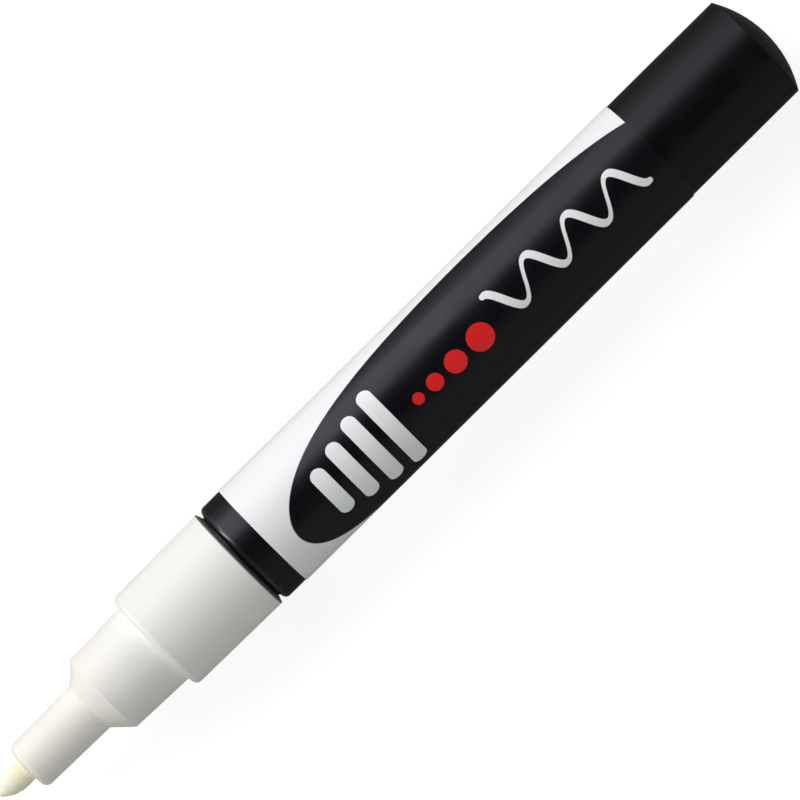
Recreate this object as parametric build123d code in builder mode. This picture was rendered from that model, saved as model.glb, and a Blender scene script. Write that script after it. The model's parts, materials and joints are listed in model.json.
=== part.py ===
from build123d import *
import os
from math import cos, pi, sin, sqrt

# A liquid chalk marker with a pump-action valve, lying on a table with its nib towards +X.
# Millimetres. The origin is on the table, under the middle of the marker's length.

os.makedirs("parts", exist_ok=True)

# Lengths along the marker, from the nib to the tail
nib_projection = 4.95  # nib that stands out of the front tube
tube_length = 10.95  # slim tube that guides the nib
cone_length = 2.4
seat_length = 9.0  # tapered seat that the cap slides onto
grip_length = 14.85  # widest part of the front section
bevel_length = 0.3  # bevel on the front section's rear edge
groove_width = 0.3  # floor of the groove behind the front section
ring_length = 3.6  # bare front end of the barrel
sleeve_length = 68.1  # printed film
tail_length = 18.6  # bare rear end of the barrel
dome_height = 2.1

# Barrel, film and tail plug
barrel_radius = 7.74
barrel_wall = 1.2
film_thickness = 0.13
neck_depth = 1.02  # step down from the ring to the neck
neck_wall = 1.2
shoulder_wall = 1.2  # along the marker, where bore and neck meet
ring_edge_radius = 0.75
neck_fillet_radius = 0.2
rim_edge_radius = 0.12
snap_offset = 3.5  # from the front section's rear edge to the snap bead
snap_width = 1.4
snap_height = 0.22
crease_inset = 0.12  # the dome starts this far inside the barrel's rim
plug_depth = 6.0
plug_wall = 1.2
plug_floor = 1.0
plug_lead_in = 0.4

# Front section
skirt_wall = 0.94
bevel_land = 0.1
grip_draft = 0.19  # on the radius, as are the other drafts
grip_edge_radius = 0.8
front_wall = 1.5  # behind the ledge that the cap butts on
cap_ledge = 1.31
seat_draft = 0.3
seat_wall = 1.25
seat_edge_radius = 0.4
cone_inset = 0.8  # the inner cone lies this far behind the outer one
tube_wall = 1.24
tube_draft = 0.2
tube_edge_radius = 0.85
mouth_length = 1.6  # short bore at the front of the tube
rib_count = 6
rib_height = 0.65
rib_width = 0.8
rib_root = 0.3  # how far a rib is sunk into the tube's wall

# Nib
nib_radius = 1.68
ogive_radius = 4.6  # of the bullet's side
tip_radius = 0.25

# Valve, which fills the barrel's neck
nib_travel = 1.5
stop_gap = 0.5  # left between cup and valve body when the nib is pushed home
flange_thickness = 1.5
hub_projection = 1.2
gasket_thickness = 0.8
port_gap = 0.49  # ink passage around the stem
port_seat_depth = 0.6
stem_share = 0.46  # of the valve head's radius
flute_count = 4
flute_depth_share = 0.36  # of the stem's radius
flute_width_share = 0.6  # of the stem's radius
flute_margin = 0.3  # plain rod at either end of the flutes
cup_floor = 1.0
cup_lip = 0.25
cup_passage = 0.1  # the cup goes through the port with this gap when the valve is put together
head_share = 0.8  # of the cage's bore
head_thickness = 1.0
wire_radius = 0.22
spring_length = 9.0
spring_turns = 6
socket_gap = 0.78  # between the cage's socket and the barrel's neck
cage_wall = 0.8
cage_floor = 1.2
cage_collar_length = 1.0
socket_wall = 0.9
socket_depth = 4.0
window_width = 1.8
window_margin = 0.8
pin_overrun = 0.6  # stem that stands out of the cage

# Mixing ball
ball_radius = 3.0
ball_end_gap = 1.0

# Fits, as gaps on the radius or along the marker
press_clearance = 0.05
nib_clearance = 0.08
guide_clearance = 0.1
seal_gap = 0.05
spring_end_gap = 0.05
ball_clearance = 0.1
cut_overrun = 1.0

# Stations along the marker
overall_length = (
    nib_projection + tube_length + cone_length + seat_length + grip_length + bevel_length
    + groove_width + ring_length + sleeve_length + tail_length + dome_height
)
tail_end = -overall_length / 2
rim = tail_end + dome_height
sleeve_rear = rim + tail_length
sleeve_front = sleeve_rear + sleeve_length
ring_front = sleeve_front + ring_length
skirt_end = ring_front + groove_width
grip_rear = skirt_end + bevel_length
cap_stop = grip_rear + grip_length
cone_rear = cap_stop + seat_length
cone_front = cone_rear + cone_length
tube_front = cone_front + tube_length
nib_tip = tube_front + nib_projection

# Radii, from the barrel inwards and from the nib outwards
sleeve_radius = barrel_radius + film_thickness
bore_radius = barrel_radius - barrel_wall
neck_radius = barrel_radius - neck_depth
neck_bore_radius = neck_radius - neck_wall
skirt_bore_radius = neck_radius + press_clearance
grip_rear_radius = skirt_bore_radius + skirt_wall
grip_front_radius = grip_rear_radius - grip_draft
seat_rear_radius = grip_front_radius - cap_ledge
seat_front_radius = seat_rear_radius - seat_draft
chamber_radius = seat_front_radius - seat_wall
guide_radius = nib_radius + nib_clearance
tube_bore_radius = guide_radius + rib_height
tube_rear_radius = tube_bore_radius + tube_wall
tube_front_radius = tube_rear_radius - tube_draft

# The marker's axis, and planes along and across it
axis_height = sleeve_radius
marker_axis = Axis((0, 0, axis_height), (1, 0, 0))
side_plane = Plane(origin=(0, 0, axis_height), x_dir=(1, 0, 0), z_dir=(0, -1, 0))
top_plane = Plane(origin=(0, 0, axis_height), x_dir=(1, 0, 0), z_dir=(0, 0, 1))


def cross_plane(station):
    return Plane(origin=(station, 0, axis_height), x_dir=(0, 1, 0), z_dir=(1, 0, 0))


# Places inside the front section, worked out from the shoulder that the valve seats on
shoulder = cap_stop - front_wall
flange_rear = shoulder - flange_thickness
neck_end = flange_rear - gasket_thickness
hub_front = shoulder + hub_projection
snap_station = skirt_end + snap_offset
snap_half_width = snap_width / 2

# Barrel: neck with a snap bead, ring, bore and open rear end
bore_cone_front = ring_front - shoulder_wall
bore_cone_rear = bore_cone_front - (bore_radius - neck_bore_radius)

with BuildPart() as barrel:
    with BuildSketch(side_plane):
        with BuildLine():
            FilletPolyline(
                (rim, bore_radius),
                (rim, barrel_radius),
                (ring_front, barrel_radius),
                (ring_front, neck_radius),
                (snap_station - snap_half_width, neck_radius),
                radius=(rim_edge_radius, ring_edge_radius, neck_fillet_radius),
            )
            ThreePointArc(
                (snap_station - snap_half_width, neck_radius),
                (snap_station, neck_radius + snap_height),
                (snap_station + snap_half_width, neck_radius),
            )
            Polyline(
                (snap_station + snap_half_width, neck_radius),
                (neck_end, neck_radius),
                (neck_end, neck_bore_radius),
                (bore_cone_front, neck_bore_radius),
                (bore_cone_rear, bore_radius),
                (rim, bore_radius),
            )
        make_face()
    revolve(axis=marker_axis)
barrel.part.label = "barrel"
export_step(barrel.part, "parts/barrel.step")

# Printed film around the middle of the barrel
with BuildPart() as printed_sleeve:
    with BuildSketch(cross_plane(sleeve_rear)):
        Circle(sleeve_radius)
        Circle(barrel_radius, mode=Mode.SUBTRACT)
    extrude(amount=sleeve_length)
printed_sleeve.part.label = "printed_sleeve"
export_step(printed_sleeve.part, "parts/printed_sleeve.step")

# Tail plug: shallow dome with a hollow spigot that is pressed into the bore
dome_radius = barrel_radius - crease_inset
spigot_radius = bore_radius - press_clearance
plug_bore_radius = spigot_radius - plug_wall
plug_front = rim + plug_depth
dome_sphere_radius = (dome_radius**2 + dome_height**2) / (2 * dome_height)
dome_mid_radius = dome_radius / 2
dome_mid = tail_end + dome_sphere_radius - sqrt(dome_sphere_radius**2 - dome_mid_radius**2)

with BuildPart() as tail_plug:
    with BuildSketch(side_plane):
        with BuildLine():
            ThreePointArc((tail_end, 0), (dome_mid, dome_mid_radius), (rim, dome_radius))
            Polyline(
                (rim, dome_radius),
                (rim, spigot_radius),
                (plug_front - plug_lead_in, spigot_radius),
                (plug_front, spigot_radius - plug_lead_in),
                (plug_front, plug_bore_radius),
                (rim + plug_floor, plug_bore_radius),
                (rim + plug_floor, 0),
                (tail_end, 0),
            )
        make_face()
    revolve(axis=marker_axis)
tail_plug.part.label = "tail_plug"
export_step(tail_plug.part, "parts/tail_plug.step")

# Front section: stepped shell with a snap groove in its skirt and ribs that guide the nib
mouth_rear = tube_front - mouth_length
inner_cone_rear = cone_rear - cone_inset
inner_cone_front = inner_cone_rear + cone_length
rib_reach = rib_height + rib_root
rib_middle_radius = guide_radius + rib_reach / 2

with BuildPart() as front_section:
    with BuildSketch(side_plane):
        with BuildLine():
            FilletPolyline(
                (skirt_end, skirt_bore_radius),
                (skirt_end, skirt_bore_radius + bevel_land),
                (grip_rear, grip_rear_radius),
                (cap_stop, grip_front_radius),
                (cap_stop, seat_rear_radius),
                (cone_rear, seat_front_radius),
                (cone_front, tube_rear_radius),
                (tube_front, tube_front_radius),
                (tube_front, guide_radius),
                radius=(0, 0, grip_edge_radius, 0, seat_edge_radius, 0, tube_edge_radius),
            )
            Polyline(
                (tube_front, guide_radius),
                (mouth_rear, guide_radius),
                (mouth_rear, tube_bore_radius),
                (inner_cone_front, tube_bore_radius),
                (inner_cone_rear, chamber_radius),
                (shoulder, chamber_radius),
                (shoulder, skirt_bore_radius),
                (snap_station + snap_half_width, skirt_bore_radius),
            )
            ThreePointArc(
                (snap_station + snap_half_width, skirt_bore_radius),
                (snap_station, skirt_bore_radius + snap_height),
                (snap_station - snap_half_width, skirt_bore_radius),
            )
            Line((snap_station - snap_half_width, skirt_bore_radius), (skirt_end, skirt_bore_radius))
        make_face()
    revolve(axis=marker_axis)
    with BuildSketch(cross_plane(inner_cone_front)):
        with PolarLocations(rib_middle_radius, rib_count):
            Rectangle(rib_reach, rib_width)
    extrude(amount=mouth_rear - inner_cone_front)
front_section.part.label = "front_section"
export_step(front_section.part, "parts/front_section.step")

# Nib: fibre rod with the same bullet at both ends; a rounded tip meets the bullet's side tangentially
bullet_centre_depth = ogive_radius - nib_radius
blunt_radius = ogive_radius - tip_radius
tip_reach = sqrt(blunt_radius**2 - bullet_centre_depth**2)
bullet_length = tip_reach + tip_radius
blend_reach = tip_reach * ogive_radius / blunt_radius
blend_height = bullet_centre_depth * tip_radius / blunt_radius
cup_rear = hub_front + nib_travel + stop_gap
recess_apex = cup_rear + cup_floor
bullet_rear = recess_apex + sqrt(2) * (ogive_radius + nib_clearance) - bullet_centre_depth
bullet_front = nib_tip - bullet_length

with BuildPart() as nib:
    with BuildSketch(side_plane):
        with BuildLine():
            for base, way in ((bullet_front, 1), (bullet_rear, -1)):
                side = TangentArc(
                    (base, nib_radius),
                    (base + way * blend_reach, blend_height),
                    tangent=(way, 0),
                )
                TangentArc(side @ 1, (base + way * bullet_length, 0), tangent=side % 1)
            Line((bullet_front, nib_radius), (bullet_rear, nib_radius))
            Line((bullet_rear - bullet_length, 0), (nib_tip, 0))
        make_face()
    revolve(axis=marker_axis)
nib.part.label = "nib"
export_step(nib.part, "parts/nib.step")

# Valve sizes, from the barrel's neck inwards
socket_radius = neck_bore_radius - socket_gap
socket_bore_radius = socket_radius - socket_wall
cage_radius = socket_bore_radius - press_clearance
cage_bore_radius = cage_radius - cage_wall
head_radius = head_share * cage_bore_radius
stem_radius = stem_share * head_radius
spring_radius = (head_radius + stem_radius) / 2
port_radius = stem_radius + port_gap
port_seat_radius = port_radius + port_seat_depth
cup_radius = port_radius - cup_passage
cup_mouth_radius = cup_radius - cup_lip
socket_rear = flange_rear - socket_depth

# Valve body: flange on the shoulder, spigot in the chamber, port with a conical seat, cage socket
with BuildPart() as valve_body:
    with BuildSketch(side_plane):
        with BuildLine():
            Polyline(
                (flange_rear + port_seat_depth, port_radius),
                (hub_front, port_radius),
                (hub_front, chamber_radius - press_clearance),
                (shoulder, chamber_radius - press_clearance),
                (shoulder, skirt_bore_radius - press_clearance),
                (flange_rear, skirt_bore_radius - press_clearance),
                (flange_rear, socket_radius),
                (socket_rear, socket_radius),
                (socket_rear, socket_bore_radius),
                (flange_rear, socket_bore_radius),
                (flange_rear, port_seat_radius),
                close=True,
            )
        make_face()
    revolve(axis=marker_axis)
valve_body.part.label = "valve_body"
export_step(valve_body.part, "parts/valve_body.step")

# Gasket between the barrel's neck and the valve body
with BuildPart() as neck_gasket:
    with BuildSketch(cross_plane(neck_end)):
        Circle(neck_radius)
        Circle(neck_bore_radius, mode=Mode.SUBTRACT)
    extrude(amount=gasket_thickness)
neck_gasket.part.label = "neck_gasket"
export_step(neck_gasket.part, "parts/neck_gasket.step")

# Valve stem: cup with a 45 degree recess for the nib's rear end, fluted rod, conical head that closes
# the port, pin inside the spring
cup_front = recess_apex + cup_mouth_radius
head_cone_end = flange_rear + port_seat_radius - head_radius - seal_gap
head_cone_start = flange_rear + port_seat_radius - stem_radius - seal_gap
head_rear = head_cone_end - head_thickness
spring_front = head_rear - spring_end_gap
spring_rear = spring_front - spring_length
cage_floor_front = spring_rear - spring_end_gap
cage_rear = cage_floor_front - cage_floor
pin_end = cage_rear - pin_overrun
flute_rear = head_cone_start + flute_margin
flute_length = cup_rear - flute_margin - flute_rear

with BuildPart() as valve_stem:
    with BuildSketch(side_plane):
        with BuildLine():
            Polyline(
                (recess_apex, 0),
                (pin_end, 0),
                (pin_end, stem_radius),
                (head_rear, stem_radius),
                (head_rear, head_radius),
                (head_cone_end, head_radius),
                (head_cone_start, stem_radius),
                (cup_rear, stem_radius),
                (cup_rear, cup_radius),
                (cup_front, cup_radius),
                (cup_front, cup_mouth_radius),
                close=True,
            )
        make_face()
    revolve(axis=marker_axis)
    with BuildSketch(cross_plane(flute_rear)):
        with PolarLocations(stem_radius, flute_count):
            Rectangle(2 * flute_depth_share * stem_radius, flute_width_share * stem_radius)
    extrude(amount=flute_length, mode=Mode.SUBTRACT)
valve_stem.part.label = "valve_stem"
export_step(valve_stem.part, "parts/valve_stem.step")

# Spring cage: cup with four ink windows, pushed into the valve body's socket up to its collar
window_front = socket_rear - cage_collar_length - window_margin
window_rear = cage_floor_front + window_margin
window_length = window_front - window_rear

with BuildPart() as spring_cage:
    with BuildSketch(side_plane):
        with BuildLine():
            Polyline(
                (flange_rear, cage_bore_radius),
                (flange_rear, cage_radius),
                (socket_rear, cage_radius),
                (socket_rear, socket_radius),
                (socket_rear - cage_collar_length, socket_radius),
                (socket_rear - cage_collar_length, cage_radius),
                (cage_rear, cage_radius),
                (cage_rear, stem_radius + guide_clearance),
                (cage_floor_front, stem_radius + guide_clearance),
                (cage_floor_front, cage_bore_radius),
                close=True,
            )
        make_face()
    revolve(axis=marker_axis)
    for plane in (side_plane, top_plane):
        with BuildSketch(plane):
            with Locations((window_rear + window_length / 2, 0)):
                SlotOverall(window_length, window_width)
        extrude(amount=cage_radius + cut_overrun, both=True, mode=Mode.SUBTRACT)
spring_cage.part.label = "spring_cage"
export_step(spring_cage.part, "parts/spring_cage.step")

# Valve spring: one wire on a helix, drawn as pairs of arcs that share their tangents
quarter_turns = 4 * spring_turns
coil_start = spring_rear + wire_radius
coil_length = spring_length - 2 * wire_radius
coil_rise = coil_length / (2 * pi * spring_turns)


def coil_point(angle):
    return Vector(
        coil_start + coil_rise * angle,
        spring_radius * cos(angle),
        axis_height + spring_radius * sin(angle),
    )


def coil_tangent(angle):
    return Vector(coil_rise, -spring_radius * sin(angle), spring_radius * cos(angle)).normalized()


with BuildPart() as valve_spring:
    with BuildLine() as coil:
        for quarter in range(quarter_turns):
            first_angle = quarter * pi / 2
            last_angle = first_angle + pi / 2
            first, last = coil_point(first_angle), coil_point(last_angle)
            leave, arrive = coil_tangent(first_angle), coil_tangent(last_angle)
            chord = last - first
            along = chord.dot(leave + arrive)
            spread = 2 * (1 - leave.dot(arrive))
            handle = (sqrt(along**2 + spread * chord.dot(chord)) - along) / spread
            bend_in, bend_out = first + leave * handle, last - arrive * handle
            joint = (bend_in + bend_out) * 0.5
            TangentArc(first, joint, tangent=leave)
            TangentArc(joint, last, tangent=bend_out - bend_in)
    with BuildSketch(Plane(origin=coil_point(0), z_dir=coil_tangent(0))):
        Circle(wire_radius)
    sweep(path=coil.line)
valve_spring.part.label = "valve_spring"
export_step(valve_spring.part, "parts/valve_spring.step")

steps_per_turn = 72
coil_points = [
    coil_point(2 * pi * step / steps_per_turn) for step in range(spring_turns * steps_per_turn + 1)
]
least_gap = min(
    (coil_points[later] - coil_points[earlier]).length
    for earlier in range(len(coil_points))
    for later in range(earlier + steps_per_turn // 2, len(coil_points))
) - 2 * wire_radius
print(f"valve spring: least gap between its turns {least_gap:.3f} mm")

# Mixing ball, lying on the bottom of the bore beside the tail plug
ball_station = plug_front + ball_end_gap + ball_radius
ball_height = axis_height - bore_radius + ball_clearance + ball_radius
ball_travel = pin_end - nib_travel - ball_end_gap - ball_radius - ball_station

with BuildPart() as mixing_ball:
    with Locations((ball_station, 0, ball_height)):
        Sphere(ball_radius)
mixing_ball.part.label = "mixing_ball"
export_step(mixing_ball.part, "parts/mixing_ball.step")
print(f"mixing ball: travel {ball_travel:.3f} mm")
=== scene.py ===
import json
import math

import bpy
import numpy as np
from mathutils import Matrix, Vector, noise


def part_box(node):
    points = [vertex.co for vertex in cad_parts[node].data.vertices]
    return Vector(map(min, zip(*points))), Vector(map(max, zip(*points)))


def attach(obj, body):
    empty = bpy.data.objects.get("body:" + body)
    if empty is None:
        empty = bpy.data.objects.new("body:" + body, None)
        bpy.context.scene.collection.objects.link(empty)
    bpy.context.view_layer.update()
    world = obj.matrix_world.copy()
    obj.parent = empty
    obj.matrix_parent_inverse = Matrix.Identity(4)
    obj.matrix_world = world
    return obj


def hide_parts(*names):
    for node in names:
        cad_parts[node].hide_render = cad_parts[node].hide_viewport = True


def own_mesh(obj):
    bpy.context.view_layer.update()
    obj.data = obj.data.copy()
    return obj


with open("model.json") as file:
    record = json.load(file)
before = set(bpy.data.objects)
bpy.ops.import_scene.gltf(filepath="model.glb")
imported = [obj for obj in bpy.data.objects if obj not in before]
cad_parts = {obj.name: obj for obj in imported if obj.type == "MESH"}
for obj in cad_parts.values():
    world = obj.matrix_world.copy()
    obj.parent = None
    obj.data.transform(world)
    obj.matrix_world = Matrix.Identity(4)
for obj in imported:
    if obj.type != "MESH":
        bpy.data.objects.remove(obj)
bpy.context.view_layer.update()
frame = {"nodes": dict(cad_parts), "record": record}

# A liquid chalk marker that lies on a white floor with its nib towards +X, seen from straight above.
# Places of pieces, lamps and camera are in metres. Materials work in millimetres.

METRE_IN_MM = 1000
NOISE_SPAN = (0.3, 0.7)  # between which most values of a noise lie

nodes = frame["nodes"]
sleeve_low, sleeve_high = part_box("printed_sleeve")
front_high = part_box("front_section")[1]
nib_low, nib_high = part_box("nib")
spring_low, spring_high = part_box("valve_spring")
axis_height = (sleeve_low.z + sleeve_high.z) / 2
sleeve_radius = (sleeve_high.y - sleeve_low.y) / 2


class Graph:
    """The nodes of one material or world."""

    def __init__(self, tree):
        self.tree = tree
        tree.nodes.clear()

    def node(self, kind, **settings):
        made = self.tree.nodes.new(kind)
        for name, value in settings.items():
            setattr(made, name, value)
        return made

    def feed(self, socket, value):
        """Links an output to a socket, or sets a constant on it."""
        if isinstance(value, bpy.types.NodeSocket):
            self.tree.links.new(value, socket)
        else:
            socket.default_value = value

    def fill(self, made, values):
        """Feeds the sockets that are named."""
        for name, value in values.items():
            self.feed(made.inputs[name], value)

    def math(self, operation, *values):
        made = self.node("ShaderNodeMath", operation=operation)
        for socket, value in zip(made.inputs, values):
            self.feed(socket, value)
        return made.outputs["Value"]

    def hypot(self, first, second):
        squares = (self.math("MULTIPLY", side, side) for side in (first, second))
        return self.math("SQRT", self.math("ADD", *squares))

    def ramp(self, value, start, end, low=0.0, high=1.0):
        """Goes smoothly from low at start to high at end, and stays there."""
        made = self.node("ShaderNodeMapRange", interpolation_type="SMOOTHSTEP")
        for socket, given in zip(made.inputs, (value, start, end, low, high)):
            self.feed(socket, given)
        return made.outputs["Result"]

    def spread(self, noise, low, high, span=NOISE_SPAN):
        """Goes from low to high as a noise goes through its span."""
        return self.ramp(noise, *span, low, high)

    def mix(self, share, first, second):
        """First colour where share is 0, second where it is 1."""
        made = self.node("ShaderNodeMix", data_type="RGBA")
        colours = [socket for socket in made.inputs if socket.type == "RGBA"]
        self.feed(made.inputs["Factor"], share)
        self.feed(colours[0], first)
        self.feed(colours[1], second)
        return next(socket for socket in made.outputs if socket.type == "RGBA")

    def place(self, stretch=(1, 1, 1)):
        """Where a point of the object is, in millimetres, drawn out along each axis."""
        coordinates = self.node("ShaderNodeTexCoord").outputs["Object"]
        made = self.node("ShaderNodeVectorMath", operation="MULTIPLY")
        self.feed(made.inputs[0], coordinates)
        self.feed(made.inputs[1], [METRE_IN_MM / share for share in stretch])
        return made.outputs["Vector"]

    def split(self, vector):
        made = self.node("ShaderNodeSeparateXYZ")
        self.feed(made.inputs["Vector"], vector)
        return made.outputs["X"], made.outputs["Y"], made.outputs["Z"]

    def noise(self, place, grain, detail=2.0):
        """Smooth noise from 0 to 1 with grains of that size."""
        made = self.node("ShaderNodeTexNoise")
        self.fill(made, {"Vector": place, "Scale": 1 / grain, "Detail": detail})
        return made.outputs["Fac"]

    def bump(self, height, depth):
        """Relief of that depth in millimetres."""
        made = self.node("ShaderNodeBump")
        self.fill(made, {"Height": height, "Distance": depth / METRE_IN_MM, "Strength": 1.0})
        return made.outputs["Normal"]

    def surface(self, **inputs):
        """The shader and the output, with inputs named as on the shader, _ for a space."""
        shader = self.node("ShaderNodeBsdfPrincipled")
        self.fill(shader, {name.replace("_", " "): value for name, value in inputs.items()})
        output = self.node("ShaderNodeOutputMaterial")
        self.feed(output.inputs["Surface"], shader.outputs["BSDF"])


def new_material(name):
    material = bpy.data.materials.new(name)
    material.use_nodes = True
    return material, Graph(material.node_tree)


def rgb(red, green, blue):
    return (red, green, blue, 1.0)


# Materials

GLOSS_TINT = rgb(0.91, 0.89, 1.0)  # of barrel and film
RING_EDGE = (24.0, 24.5)  # millimetres along the marker between which the ring begins to be worn smooth
RING_FACE = (24.83, 24.86)  # and between which the dull neck begins


def black_plastic():
    """Satin moulded plastic: faint cloudiness in colour and gloss, fine mould grain."""
    material, graph = new_material("black_plastic")
    place = graph.place()
    along = graph.split(place)[0]
    cloud = graph.noise(place, grain=5.0)
    grain = graph.noise(place, grain=0.11, detail=3.0)
    worn = graph.math("MULTIPLY", graph.ramp(along, *RING_EDGE), graph.ramp(along, *RING_FACE, 1.0, 0.0))
    graph.surface(
        Base_Color=graph.mix(cloud, rgb(0.0020, 0.0018, 0.0030), rgb(0.0034, 0.0031, 0.0046)),
        Roughness=graph.spread(cloud, 0.30, 0.36),
        Coat_Weight=worn,
        Coat_Roughness=0.16,
        Specular_IOR_Level=0.26,
        Specular_Tint=GLOSS_TINT,
        Normal=graph.bump(grain, depth=0.003),
    )
    return material


# Print on the film, in millimetres along the marker and round it from the top towards +Y
PRINT_EDGE = 0.03  # soft edge of the printed colours
FILM_EDGE_HIGHLIGHT = (0.05, 0.16)  # distances from a cut end between which the painted highlight, a greyer black along the cut, fades out
PANEL_MIDDLE = (-20.0, 3.4)
PANEL_HALF_SIZE = (38.0, 11.9)
DOT_ROW = 1.6
DOT_STATIONS = (-4.6, -7.5, -11.1, -15.4)
DOT_RADII = (0.8, 1.15, 1.5, 1.85)
WAVE_ENDS = (-44.0, -19.0)
WAVE_ROW = 0.4
WAVE_HEIGHT = 2.2
WAVE_LENGTH = 50 / 7  # three and a half waves between the ends, so both are round
WAVE_TURN = 2 * math.pi / WAVE_LENGTH
WAVE_HALF_WIDTHS = (0.24, 0.54)  # where the stroke rises and where it falls
BAR_STATIONS = (0.2, 3.8, 7.4, 11.0)
BAR_ROW = 2.4
BAR_HALF_LENGTHS = (5.6, 4.6, 3.6, 2.6)
BAR_RADIUS = 1.1


def inside(graph, distance, limit):
    """1 where a distance is less than the limit."""
    outer = graph.math("ADD", limit, PRINT_EDGE)
    inner = graph.math("SUBTRACT", limit, PRINT_EDGE)
    return graph.ramp(distance, outer, inner)


def union(graph, masks):
    whole = masks[0]
    for mask in masks[1:]:
        whole = graph.math("MAXIMUM", whole, mask)
    return whole


def panel_mask(graph, along, around):
    """A plain oval."""
    shares = [
        graph.math("DIVIDE", graph.math("SUBTRACT", value, middle), half)
        for value, middle, half in zip((along, around), PANEL_MIDDLE, PANEL_HALF_SIZE)
    ]
    distance = graph.math("MULTIPLY", graph.hypot(*shares), PANEL_HALF_SIZE[1])
    return inside(graph, distance, PANEL_HALF_SIZE[1])


def dots_mask(graph, along, around):
    """Round dots of growing size, as of a stroke that gets wider."""
    off_row = graph.math("SUBTRACT", around, DOT_ROW)
    return union(graph, [
        inside(graph, graph.hypot(graph.math("SUBTRACT", along, station), off_row), radius)
        for station, radius in zip(DOT_STATIONS, DOT_RADII)
    ])


def wave_mask(graph, along, around):
    """A hand-drawn wave from a crest to a trough, whose stroke swells as it falls."""
    held = graph.math("MINIMUM", graph.math("MAXIMUM", along, WAVE_ENDS[0]), WAVE_ENDS[1])
    phase = graph.math("MULTIPLY", graph.math("SUBTRACT", held, WAVE_ENDS[0]), WAVE_TURN)
    crest = graph.math("MULTIPLY", graph.math("COSINE", phase), WAVE_HEIGHT)
    lean = graph.math("SINE", phase)
    slope = graph.math("MULTIPLY", lean, WAVE_HEIGHT * WAVE_TURN)
    off_line = graph.math("SUBTRACT", graph.math("SUBTRACT", around, WAVE_ROW), crest)
    steepness = graph.hypot(slope, 1.0)
    distance = graph.hypot(graph.math("DIVIDE", off_line, steepness), graph.math("SUBTRACT", along, held))
    width = graph.ramp(lean, -1.0, 1.0, *WAVE_HALF_WIDTHS)
    return inside(graph, distance, width)


def bars_mask(graph, along, around):
    """Blank bars with round ends that lie across the marker."""
    off_row = graph.math("ABSOLUTE", graph.math("SUBTRACT", around, BAR_ROW))
    return union(graph, [
        inside(
            graph,
            graph.hypot(
                graph.math("SUBTRACT", along, station),
                graph.math("MAXIMUM", graph.math("SUBTRACT", off_row, half_length), 0.0),
            ),
            BAR_RADIUS,
        )
        for station, half_length in zip(BAR_STATIONS, BAR_HALF_LENGTHS)
    ])


def cut_highlight_mask(graph, along):
    """The film's two cut ends, where a painted highlight lies."""
    inset = graph.math(
        "MINIMUM",
        graph.math("SUBTRACT", along, sleeve_low.x * METRE_IN_MM),
        graph.math("SUBTRACT", sleeve_high.x * METRE_IN_MM, along),
    )
    return graph.ramp(inset, *FILM_EDGE_HIGHLIGHT, 1.0, 0.0)


def printed_film():
    """White film with a plain two-tone print, slightly wavy where it has shrunk onto the barrel."""
    material, graph = new_material("printed_film")
    place = graph.place()
    along, across, up = graph.split(place)
    height = graph.math("SUBTRACT", up, axis_height * METRE_IN_MM)
    around = graph.math("MULTIPLY", graph.math("ARCTAN2", across, height), sleeve_radius * METRE_IN_MM)
    cloud = graph.noise(place, grain=4.0)
    peel = graph.noise(graph.place(stretch=(4, 1, 1)), grain=2.2, detail=0.0)
    panel = panel_mask(graph, along, around)
    white = graph.mix(cloud, rgb(0.915, 0.925, 0.935), rgb(0.935, 0.945, 0.955))
    black = graph.mix(cloud, rgb(0.0028, 0.0025, 0.0040), rgb(0.0042, 0.0038, 0.0058))
    red = graph.mix(cloud, rgb(0.84, 0.018, 0.014), rgb(0.92, 0.024, 0.020))
    # painted highlight: a greyer black along the cut ends, where the film's edge would catch light
    painted_cut_highlight = graph.mix(cloud, rgb(0.010, 0.010, 0.011), rgb(0.014, 0.014, 0.015))
    colour = graph.mix(panel, white, graph.mix(cut_highlight_mask(graph, along), black, painted_cut_highlight))
    bare = union(graph, [wave_mask(graph, along, around), bars_mask(graph, along, around)])
    colour = graph.mix(bare, colour, white)
    colour = graph.mix(dots_mask(graph, along, around), colour, red)
    graph.surface(
        Base_Color=colour,
        Roughness=graph.spread(cloud, 0.29, 0.34),
        Specular_IOR_Level=0.28,
        Specular_Tint=GLOSS_TINT,
        Normal=graph.bump(peel, depth=0.004),
    )
    return material


BEVEL_PAINTED_SHADE = (25.52, 25.66)  # millimetres along the marker between which the painted shade on the grip's rear bevel ends
TUBE_PAINTED_GLOW = (38.0, 58.0)  # and between which the colour gets warmer along the tube, as painted light for the nib's glow through its thin wall


def white_plastic():
    """Satin white plastic that lets a little light through, painted warmer along the tube as painted light
    for the nib's glow through its thin wall, and painted darker on the rear bevel as painted shade.
    """
    material, graph = new_material("white_plastic")
    place = graph.place()
    along = graph.split(place)[0]
    cloud = graph.noise(place, grain=3.5)
    grain = graph.noise(place, grain=0.12, detail=3.0)
    # painted light: the tube's colour is warmer, standing in for the nib's light through its thin wall
    tube_painted_glow = graph.mix(cloud, rgb(0.95, 0.895, 0.825), rgb(0.965, 0.915, 0.85))
    body = graph.mix(cloud, rgb(0.91, 0.90, 0.85), rgb(0.94, 0.925, 0.88))
    # painted shade: the rear bevel is darkened where it lies deep in the groove by the ring
    painted_bevel_shade = rgb(0.22, 0.21, 0.20)
    body = graph.mix(graph.ramp(along, *BEVEL_PAINTED_SHADE, 1.0, 0.0), body, painted_bevel_shade)
    graph.surface(
        Base_Color=graph.mix(graph.ramp(along, *TUBE_PAINTED_GLOW), body, tube_painted_glow),
        Roughness=graph.spread(cloud, 0.38, 0.46),
        Specular_IOR_Level=0.27,
        Subsurface_Weight=0.04,
        Subsurface_Radius=(1.0, 0.85, 0.65),
        Subsurface_Scale=0.0005,
        Normal=graph.bump(grain, depth=0.003),
    )
    return material


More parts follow.
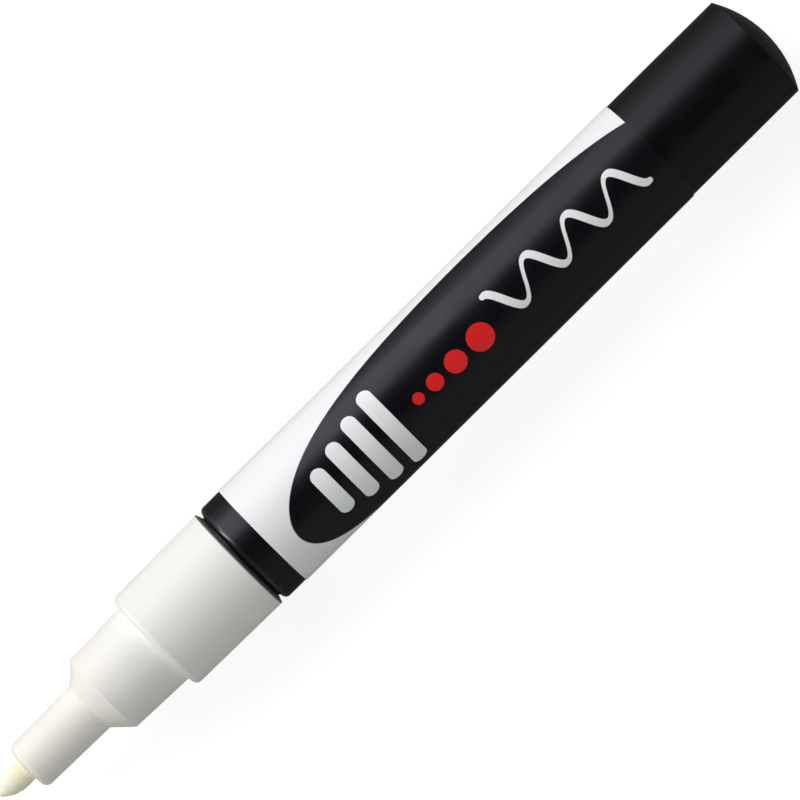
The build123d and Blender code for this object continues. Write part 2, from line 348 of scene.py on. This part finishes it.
NIB_POINT = 5.0  # millimetres from the tip where the darker root, partly an ink stain and partly painted shade where the nib goes into the tube, begins to fade
NIB_BLEND = 3.0  # millimetres in which it fades out
SPECKLE_SPAN = (0.35, 0.7)  # of the noise, in which the pale speckles come in


def nib_fibre():
    """Bonded fibres that run along the nib and end in speckles on its point."""
    material, graph = new_material("nib_fibre")
    fibre = graph.noise(graph.place(stretch=(7, 1, 1)), grain=0.13, detail=3.0)
    speckle = graph.noise(graph.place(), grain=0.22, detail=3.0)
    along = graph.split(graph.place())[0]
    cream = graph.mix(fibre, rgb(0.96, 0.86, 0.60), rgb(0.99, 0.95, 0.81))
    # partly ink stain and partly painted shade: the root by the tube is darker and more orange
    root_stain_and_shade = graph.mix(fibre, rgb(0.92, 0.74, 0.44), rgb(0.98, 0.86, 0.60))
    root = nib_high.x * METRE_IN_MM - NIB_POINT
    tone = graph.mix(graph.ramp(along, root, root + NIB_BLEND), root_stain_and_shade, cream)
    graph.surface(
        Base_Color=graph.mix(graph.ramp(speckle, *SPECKLE_SPAN), tone, rgb(0.98, 0.95, 0.83)),
        Roughness=graph.spread(speckle, 0.78, 0.92),
        Specular_IOR_Level=0.2,
        Subsurface_Weight=0.45,
        Subsurface_Radius=(1.0, 0.75, 0.42),
        Subsurface_Scale=0.0011,
        Normal=graph.bump(fibre, depth=0.03),
    )
    return material


def natural_plastic():
    """Unpigmented plastic of the valve."""
    material, graph = new_material("natural_plastic")
    cloud = graph.noise(graph.place(), grain=2.0)
    graph.surface(
        Base_Color=graph.mix(cloud, rgb(0.76, 0.76, 0.71), rgb(0.84, 0.84, 0.80)),
        Roughness=graph.spread(cloud, 0.38, 0.5),
        Subsurface_Weight=0.3,
        Subsurface_Radius=(1.0, 0.95, 0.85),
        Subsurface_Scale=0.0012,
    )
    return material


def spring_steel():
    """Drawn wire with fine scratches along it."""
    material, graph = new_material("spring_steel")
    scratch = graph.noise(graph.place(stretch=(0.4, 1, 1)), grain=0.08, detail=3.0)
    graph.surface(
        Base_Color=graph.mix(scratch, rgb(0.50, 0.50, 0.51), rgb(0.66, 0.66, 0.66)),
        Metallic=1.0,
        Roughness=graph.spread(scratch, 0.22, 0.4),
        Normal=graph.bump(scratch, depth=0.002),
    )
    return material


def seal_rubber():
    """Matte black rubber with a powdery surface."""
    material, graph = new_material("seal_rubber")
    dust = graph.noise(graph.place(), grain=0.3, detail=4.0)
    graph.surface(
        Base_Color=graph.mix(dust, rgb(0.02, 0.02, 0.02), rgb(0.05, 0.05, 0.05)),
        Roughness=graph.spread(dust, 0.7, 0.85),
        Normal=graph.bump(dust, depth=0.01),
    )
    return material


MARK_SPAN = (0.4, 0.7)  # of the noise, in which the marks get duller


def ball_steel():
    """Polished steel with faint tumbling marks."""
    material, graph = new_material("ball_steel")
    mark = graph.noise(graph.place(), grain=0.35, detail=4.0)
    graph.surface(
        Base_Color=graph.mix(mark, rgb(0.62, 0.62, 0.62), rgb(0.72, 0.72, 0.72)),
        Metallic=1.0,
        Roughness=graph.spread(mark, 0.08, 0.2, MARK_SPAN),
        Normal=graph.bump(mark, depth=0.001),
    )
    return material


looks = {
    "black_plastic": black_plastic(),
    "printed_film": printed_film(),
    "white_plastic": white_plastic(),
    "nib_fibre": nib_fibre(),
    "natural_plastic": natural_plastic(),
    "spring_steel": spring_steel(),
    "seal_rubber": seal_rubber(),
    "ball_steel": ball_steel(),
}
for subpart in frame["record"]["subparts"]:
    nodes[subpart["node"]].material_slots[0].material = looks[subpart["material_slot"]]


# Round surfaces

ROUND_NODES = ("barrel", "tail_plug", "printed_sleeve", "front_section")
TILT_LIMIT = 0.6  # sideways share of a normal up to which the surface counts as round


def round_normals():
    """Takes the sideways tilt out of the normals of round surfaces, so that no facet or seam shows."""
    tree = bpy.data.node_groups.new("round_normals", "GeometryNodeTree")
    for way in ("INPUT", "OUTPUT"):
        tree.interface.new_socket("Geometry", in_out=way, socket_type="NodeSocketGeometry")

    def node(kind, values=(), **settings):
        made = tree.nodes.new(kind)
        for name, value in settings.items():
            setattr(made, name, value)
        for socket, value in zip(made.inputs, values):
            if isinstance(value, bpy.types.NodeSocket):
                tree.links.new(value, socket)
            else:
                socket.default_value = value
        return made

    def vector(operation, *values):
        return node("ShaderNodeVectorMath", values, operation=operation).outputs

    def value(operation, *values):
        return node("ShaderNodeMath", values, operation=operation).outputs["Value"]

    normal = node("GeometryNodeInputNormal").outputs["Normal"]
    place = node("GeometryNodeInputPosition").outputs["Position"]
    from_axis = vector("SUBTRACT", place, (0, 0, axis_height))["Vector"]
    around = vector("NORMALIZE", vector("CROSS_PRODUCT", from_axis, (1, 0, 0))["Vector"])["Vector"]
    tilt = vector("DOT_PRODUCT", normal, around)["Value"]
    share = value("MULTIPLY", tilt, value("LESS_THAN", value("ABSOLUTE", tilt), TILT_LIMIT))
    excess = node("ShaderNodeVectorMath", (around,), operation="SCALE")
    tree.links.new(share, excess.inputs["Scale"])
    mended = vector("NORMALIZE", vector("SUBTRACT", normal, excess.outputs["Vector"])["Vector"])["Vector"]
    source = node("NodeGroupInput").outputs["Geometry"]
    turned = node("GeometryNodeSetMeshNormal", mode="FREE", domain="CORNER")
    tree.links.new(source, turned.inputs["Mesh"])
    tree.links.new(mended, turned.inputs["Custom Normal"])
    tree.links.new(turned.outputs["Mesh"], node("NodeGroupOutput").inputs["Geometry"])
    return tree


round_tree = round_normals()
for name in ROUND_NODES:
    nodes[name].modifiers.new("round_normals", "NODES").node_group = round_tree


# Pieces

def new_object(name, points, faces):
    mesh = bpy.data.meshes.new(name)
    mesh.from_pydata(points, [], faces)
    mesh.update()
    made = bpy.data.objects.new(name, mesh)
    bpy.context.scene.collection.objects.link(made)
    return made


def shade(made, smooth):
    made.data.polygons.foreach_set("use_smooth", [smooth] * len(made.data.polygons))


def bands(rings):
    """Faces between each ring of points and the next."""
    count = len(rings[0])
    faces = []
    for ring in range(len(rings) - 1):
        for side in range(count):
            near, far = ring * count + side, ring * count + (side + 1) % count
            faces.append((near, far, far + count, near + count))
    return faces


def skin(name, rings, smooth=True):
    """A closed mesh through rings of points, with a flat face at either end."""
    count = len(rings[0])
    first = tuple(reversed(range(count)))
    last = tuple(range((len(rings) - 1) * count, len(rings) * count))
    points = [point for ring in rings for point in ring]
    made = new_object(name, points, [first, *bands(rings), last])
    shade(made, smooth)
    return made


def finish_piece(piece, body, slot, *replaced):
    piece.data.materials.append(looks[slot])
    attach(piece, body)
    if replaced:
        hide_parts(*replaced)


def ring_outline(node):
    """Stations of a round CAD node along the axis, and its radius at each."""
    radii = {}
    for vertex in nodes[node].data.vertices:
        station = round(vertex.co.x, 6)
        radius = math.hypot(vertex.co.y, vertex.co.z - axis_height)
        radii[station] = max(radius, radii.get(station, 0))
    stations = sorted(radii)
    return stations, [radii[station] for station in stations]


NIB_SIDES = 120
NIB_HIDDEN_RINGS = 30
NIB_SHOWN_RINGS = 130
FIBRE_DEPTH = 0.00004
FIBRE_WIDTH = 0.00022
FIBRE_DRAW = 6  # how much longer than wide a groove between fibres is


def make_nib():
    """The nib with the fibres' grooves cut into it."""
    stations, radii = ring_outline("nib")
    shown = np.linspace(front_high.x, nib_high.x, NIB_SHOWN_RINGS)
    hidden = np.linspace(nib_low.x, front_high.x, NIB_HIDDEN_RINGS, endpoint=False)
    rings = []
    for station in [*hidden, *shown]:
        radius = np.interp(station, stations, radii)
        ring = []
        for side in range(NIB_SIDES):
            angle = 2 * math.pi * side / NIB_SIDES
            out = Vector((0, math.cos(angle), math.sin(angle)))
            spot = Vector((station / FIBRE_DRAW, *(out * radius).yz)) / FIBRE_WIDTH
            groove = FIBRE_DEPTH * (1 + noise.noise(spot)) / 2
            ring.append(Vector((station, 0, axis_height)) + out * max(radius - groove, radius / 2))
        rings.append(ring)
    finish_piece(skin("fibre_nib", rings), "nib", "nib_fibre", "nib")


SPRING_TURNS = 6
SPRING_STEPS = 48  # rings of the wire in one turn
WIRE_SIDES = 12
WIRE_RADIUS = 0.00022


def make_spring():
    """The valve's coil spring at its rest length; the real one shortens when the nib is pressed."""
    coil_radius = spring_high.y - WIRE_RADIUS
    start = spring_low.x + WIRE_RADIUS
    rise = (spring_high.x - spring_low.x - 2 * WIRE_RADIUS) / (2 * math.pi * SPRING_TURNS)
    rings = []
    for step in range(SPRING_TURNS * SPRING_STEPS + 1):
        angle = 2 * math.pi * step / SPRING_STEPS
        out = Vector((0, math.cos(angle), math.sin(angle)))
        way = Vector((rise, -coil_radius * math.sin(angle), coil_radius * math.cos(angle))).normalized()
        side = way.cross(out)
        middle = Vector((start + rise * angle, 0, axis_height)) + out * coil_radius
        turns = [2 * math.pi * corner / WIRE_SIDES for corner in range(WIRE_SIDES)]
        spokes = [out * math.cos(turn) + side * math.sin(turn) for turn in turns]
        rings.append([middle + WIRE_RADIUS * spoke for spoke in spokes])
    spring = skin("valve_coil", rings)
    finish_piece(spring, "marker", "spring_steel", "valve_spring")
    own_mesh(spring)


SEAM_ANGLE = math.radians(150)  # from the top towards +Y, so the seam is underneath
SEAM_WIDTH = 0.0028
SEAM_THICKNESS = 0.00005
SEAM_STEPS = 8


def make_seam():
    """The lap where the film's two long edges are joined."""
    half_turn = SEAM_WIDTH / sleeve_radius / 2
    turns = np.linspace(SEAM_ANGLE - half_turn, SEAM_ANGLE + half_turn, SEAM_STEPS)
    loop = [(turn, sleeve_radius + SEAM_THICKNESS) for turn in turns]
    loop += [(turn, sleeve_radius - SEAM_THICKNESS) for turn in reversed(turns)]
    section = [(radius * math.sin(turn), axis_height + radius * math.cos(turn)) for turn, radius in loop]
    rings = [[Vector((station, *point)) for point in section] for station in (sleeve_low.x, sleeve_high.x)]
    finish_piece(skin("film_seam", rings, smooth=False), "marker", "printed_film")


make_nib()
make_spring()
make_seam()


# Floor, light and camera

FLOOR_RADIUS = 3.0
COVE_RADIUS = 0.3  # of the curve in which the floor rises all round
COVE_STEPS = 16
FLOOR_SIDES = 96
FLOOR_RINGS = (0.02, 0.25, 0.5, 0.75)  # shares of its radius
FLOOR_PAINTED_SHADE = rgb(0.12, 0.12, 0.12)  # painted shade: the floor's colour close to the marker in what glossy surfaces mirror
FLOOR_GLOW = 0.82  # brings the lit floor to white in the picture
GLOSS_SHARES = (0.05, 0.4)  # of that glow in what glossy surfaces mirror, by the marker and on its lit side, where the stronger glow is painted light
GLOSS_RISE = (28.0, 60.0)  # millimetres from the axis between which it goes from one to the other
MIRROR_SHADE = (20.0, 48.0)  # millimetres from the axis between which the painted shade in what they mirror fades out


def floor_white():
    """Pale floor, lifted to white where it is seen or reflected, with the marker's shadow left on it, and
    with painted shade close to the marker and a painted glow on its lit side in what glossy surfaces mirror.
    """
    material, graph = new_material("floor_white")
    place = graph.place()
    across = graph.split(place)[1]
    cloud = graph.noise(place, grain=60.0)
    rays = graph.node("ShaderNodeLightPath").outputs
    # painted shade: close to the marker the floor is darker in what glossy surfaces mirror
    near = graph.ramp(graph.math("ABSOLUTE", across), *MIRROR_SHADE, 1.0, 0.0)
    pale = graph.mix(cloud, rgb(0.42, 0.42, 0.42), rgb(0.44, 0.44, 0.44))
    dimmed = graph.math("MULTIPLY", rays["Is Glossy Ray"], near)
    diffuse = graph.node("ShaderNodeBsdfDiffuse")
    graph.feed(diffuse.inputs["Color"], graph.mix(dimmed, pale, FLOOR_PAINTED_SHADE))
    seen = graph.math("MAXIMUM", rays["Is Camera Ray"], rays["Is Transmission Ray"])
    # painted light: the floor glows more on the marker's lit side in what glossy surfaces mirror
    mirrored = graph.ramp(graph.math("MULTIPLY", across, -1.0), *GLOSS_RISE, *GLOSS_SHARES)
    seen = graph.math("MAXIMUM", seen, graph.math("MULTIPLY", rays["Is Glossy Ray"], mirrored))
    glow = graph.node("ShaderNodeEmission")
    graph.feed(glow.inputs["Strength"], graph.math("MULTIPLY", seen, FLOOR_GLOW))
    both = graph.node("ShaderNodeAddShader")
    graph.feed(both.inputs[0], diffuse.outputs["BSDF"])
    graph.feed(both.inputs[1], glow.outputs["Emission"])
    output = graph.node("ShaderNodeOutputMaterial")
    graph.feed(output.inputs["Surface"], both.outputs["Shader"])
    return material


def make_floor():
    """A round floor whose edge curves up, so that it fills the picture from any side."""
    profile = [(FLOOR_RADIUS * share, 0.0) for share in FLOOR_RINGS]
    for step in range(COVE_STEPS + 1):
        turn = math.pi / 2 * step / COVE_STEPS
        profile.append((FLOOR_RADIUS + COVE_RADIUS * math.sin(turn), COVE_RADIUS * (1 - math.cos(turn))))
    turns = [2 * math.pi * side / FLOOR_SIDES for side in range(FLOOR_SIDES)]
    rings = [
        [Vector((radius * math.cos(turn), radius * math.sin(turn), height)) for turn in turns]
        for radius, height in profile
    ]
    faces = [tuple(range(FLOOR_SIDES))]
    faces += [tuple(reversed(face)) for face in bands(rings)]
    floor = new_object("floor", [point for ring in rings for point in ring], faces)
    shade(floor, smooth=True)
    floor.data.materials.append(floor_white())


def make_lamp(name, away, distance, size, power):
    """A soft box of that height and width, that far away in that direction, turned to the marker."""
    light = bpy.data.lights.new(name, "AREA")
    light.shape = "RECTANGLE"
    light.size, light.size_y = size
    light.energy = power
    lamp = bpy.data.objects.new(name, light)
    bpy.context.scene.collection.objects.link(lamp)
    lamp.location = Vector((0, 0, axis_height)) + Vector(away).normalized() * distance
    lamp.rotation_mode = "QUATERNION"
    lamp.rotation_quaternion = Vector(away).to_track_quat("Z", "X")
    lamp.visible_camera = False
    return lamp


# Light from all round. A pair called RISE or FADE tells between which shares of a direction it changes.
WALL_COLOUR = rgb(0.98, 1.0, 1.0)
WALL_LIGHT = 0.94
CEILING_LIGHT = 0.02
CEILING_FADE = (0.62, 1.06)
TAIL_WALL = 0.04  # share of the walls' light that comes from behind the tail
TAIL_RISE = (-0.45, 0.15)
NIB_WALL = 0.28  # share of it that comes from before the nib
NIB_FADE = (0.2, 0.9)
SIDE_WALLS = (0.95, 1.4)  # shares of it that come from the key's side and from the other
WALL_MIRRORED = 0.42  # share of it that glossy surfaces mirror
TAIL_GLEAM = 1.0  # light that only glossy surfaces mirror, from high up behind the tail
GLEAM_RISE = (0.2, 0.5)
GLEAM_FADE = (-0.75, -0.4)


def make_world():
    """A studio with pale walls and a dark spot in the ceiling, white where it is seen itself."""
    world = bpy.data.worlds.new("studio")
    world.use_nodes = True
    bpy.context.scene.world = world
    graph = Graph(world.node_tree)
    along, across, up = graph.split(graph.node("ShaderNodeTexCoord").outputs["Generated"])
    rays = graph.node("ShaderNodeLightPath").outputs
    mirrored = graph.ramp(rays["Is Glossy Ray"], 0.0, 1.0, 1.0, WALL_MIRRORED)
    wall = graph.ramp(up, *CEILING_FADE, WALL_LIGHT, CEILING_LIGHT)
    shares = (
        graph.ramp(along, *TAIL_RISE, TAIL_WALL, 1.0),
        graph.ramp(along, *NIB_FADE, 1.0, NIB_WALL),
        graph.ramp(across, -1.0, 1.0, *SIDE_WALLS),
        mirrored,
    )
    for share in shares:
        wall = graph.math("MULTIPLY", wall, share)
    behind = graph.ramp(along, *GLEAM_FADE, TAIL_GLEAM, 0.0)
    gleam = graph.math("MULTIPLY", graph.ramp(up, *GLEAM_RISE), behind)
    wall = graph.math("ADD", wall, graph.math("MULTIPLY", gleam, rays["Is Glossy Ray"]))
    background = graph.node("ShaderNodeBackground")
    graph.feed(background.inputs["Color"], WALL_COLOUR)
    graph.feed(background.inputs["Strength"], graph.math("MAXIMUM", rays["Is Camera Ray"], wall))
    output = graph.node("ShaderNodeOutputWorld")
    graph.feed(output.inputs["Surface"], background.outputs["Background"])


CAMERA_DISTANCE = 0.771
CAMERA_OFFSET = (-0.00284, 0.0001)  # from over the marker's middle
PICTURE_WIDTH = 0.1  # seen across the picture at the marker's axis
MARKER_LEAN = math.radians(44.77)  # of the marker in the picture


def make_camera():
    camera = bpy.data.objects.new("camera", bpy.data.cameras.new("camera"))
    bpy.context.scene.collection.objects.link(camera)
    bpy.context.scene.camera = camera
    camera.data.lens = camera.data.sensor_width * CAMERA_DISTANCE / PICTURE_WIDTH
    right = Vector((-math.cos(MARKER_LEAN), math.sin(MARKER_LEAN), 0))
    up = Vector((-math.sin(MARKER_LEAN), -math.cos(MARKER_LEAN), 0))
    back = right.cross(up)
    turn = Matrix((right, up, back)).transposed().to_4x4()
    camera.matrix_world = Matrix.Translation((*CAMERA_OFFSET, axis_height + CAMERA_DISTANCE)) @ turn


make_floor()
make_world()
make_lamp("key_box", away=(0.26, -0.77, 0.57), distance=0.7, size=(0.58, 0.6), power=3.8)
make_lamp("side_box", away=(0.12, -0.97, 0.2), distance=0.8, size=(0.3, 0.45), power=0.5)
glint_box = make_lamp("glint_box", away=(0.76, -0.58, 0.27), distance=0.8, size=(0.4, 0.12), power=1.6)
glint_box.visible_diffuse = False  # it only shows as a gleam on edges
make_camera()
bpy.context.scene.view_settings.view_transform = "Standard"
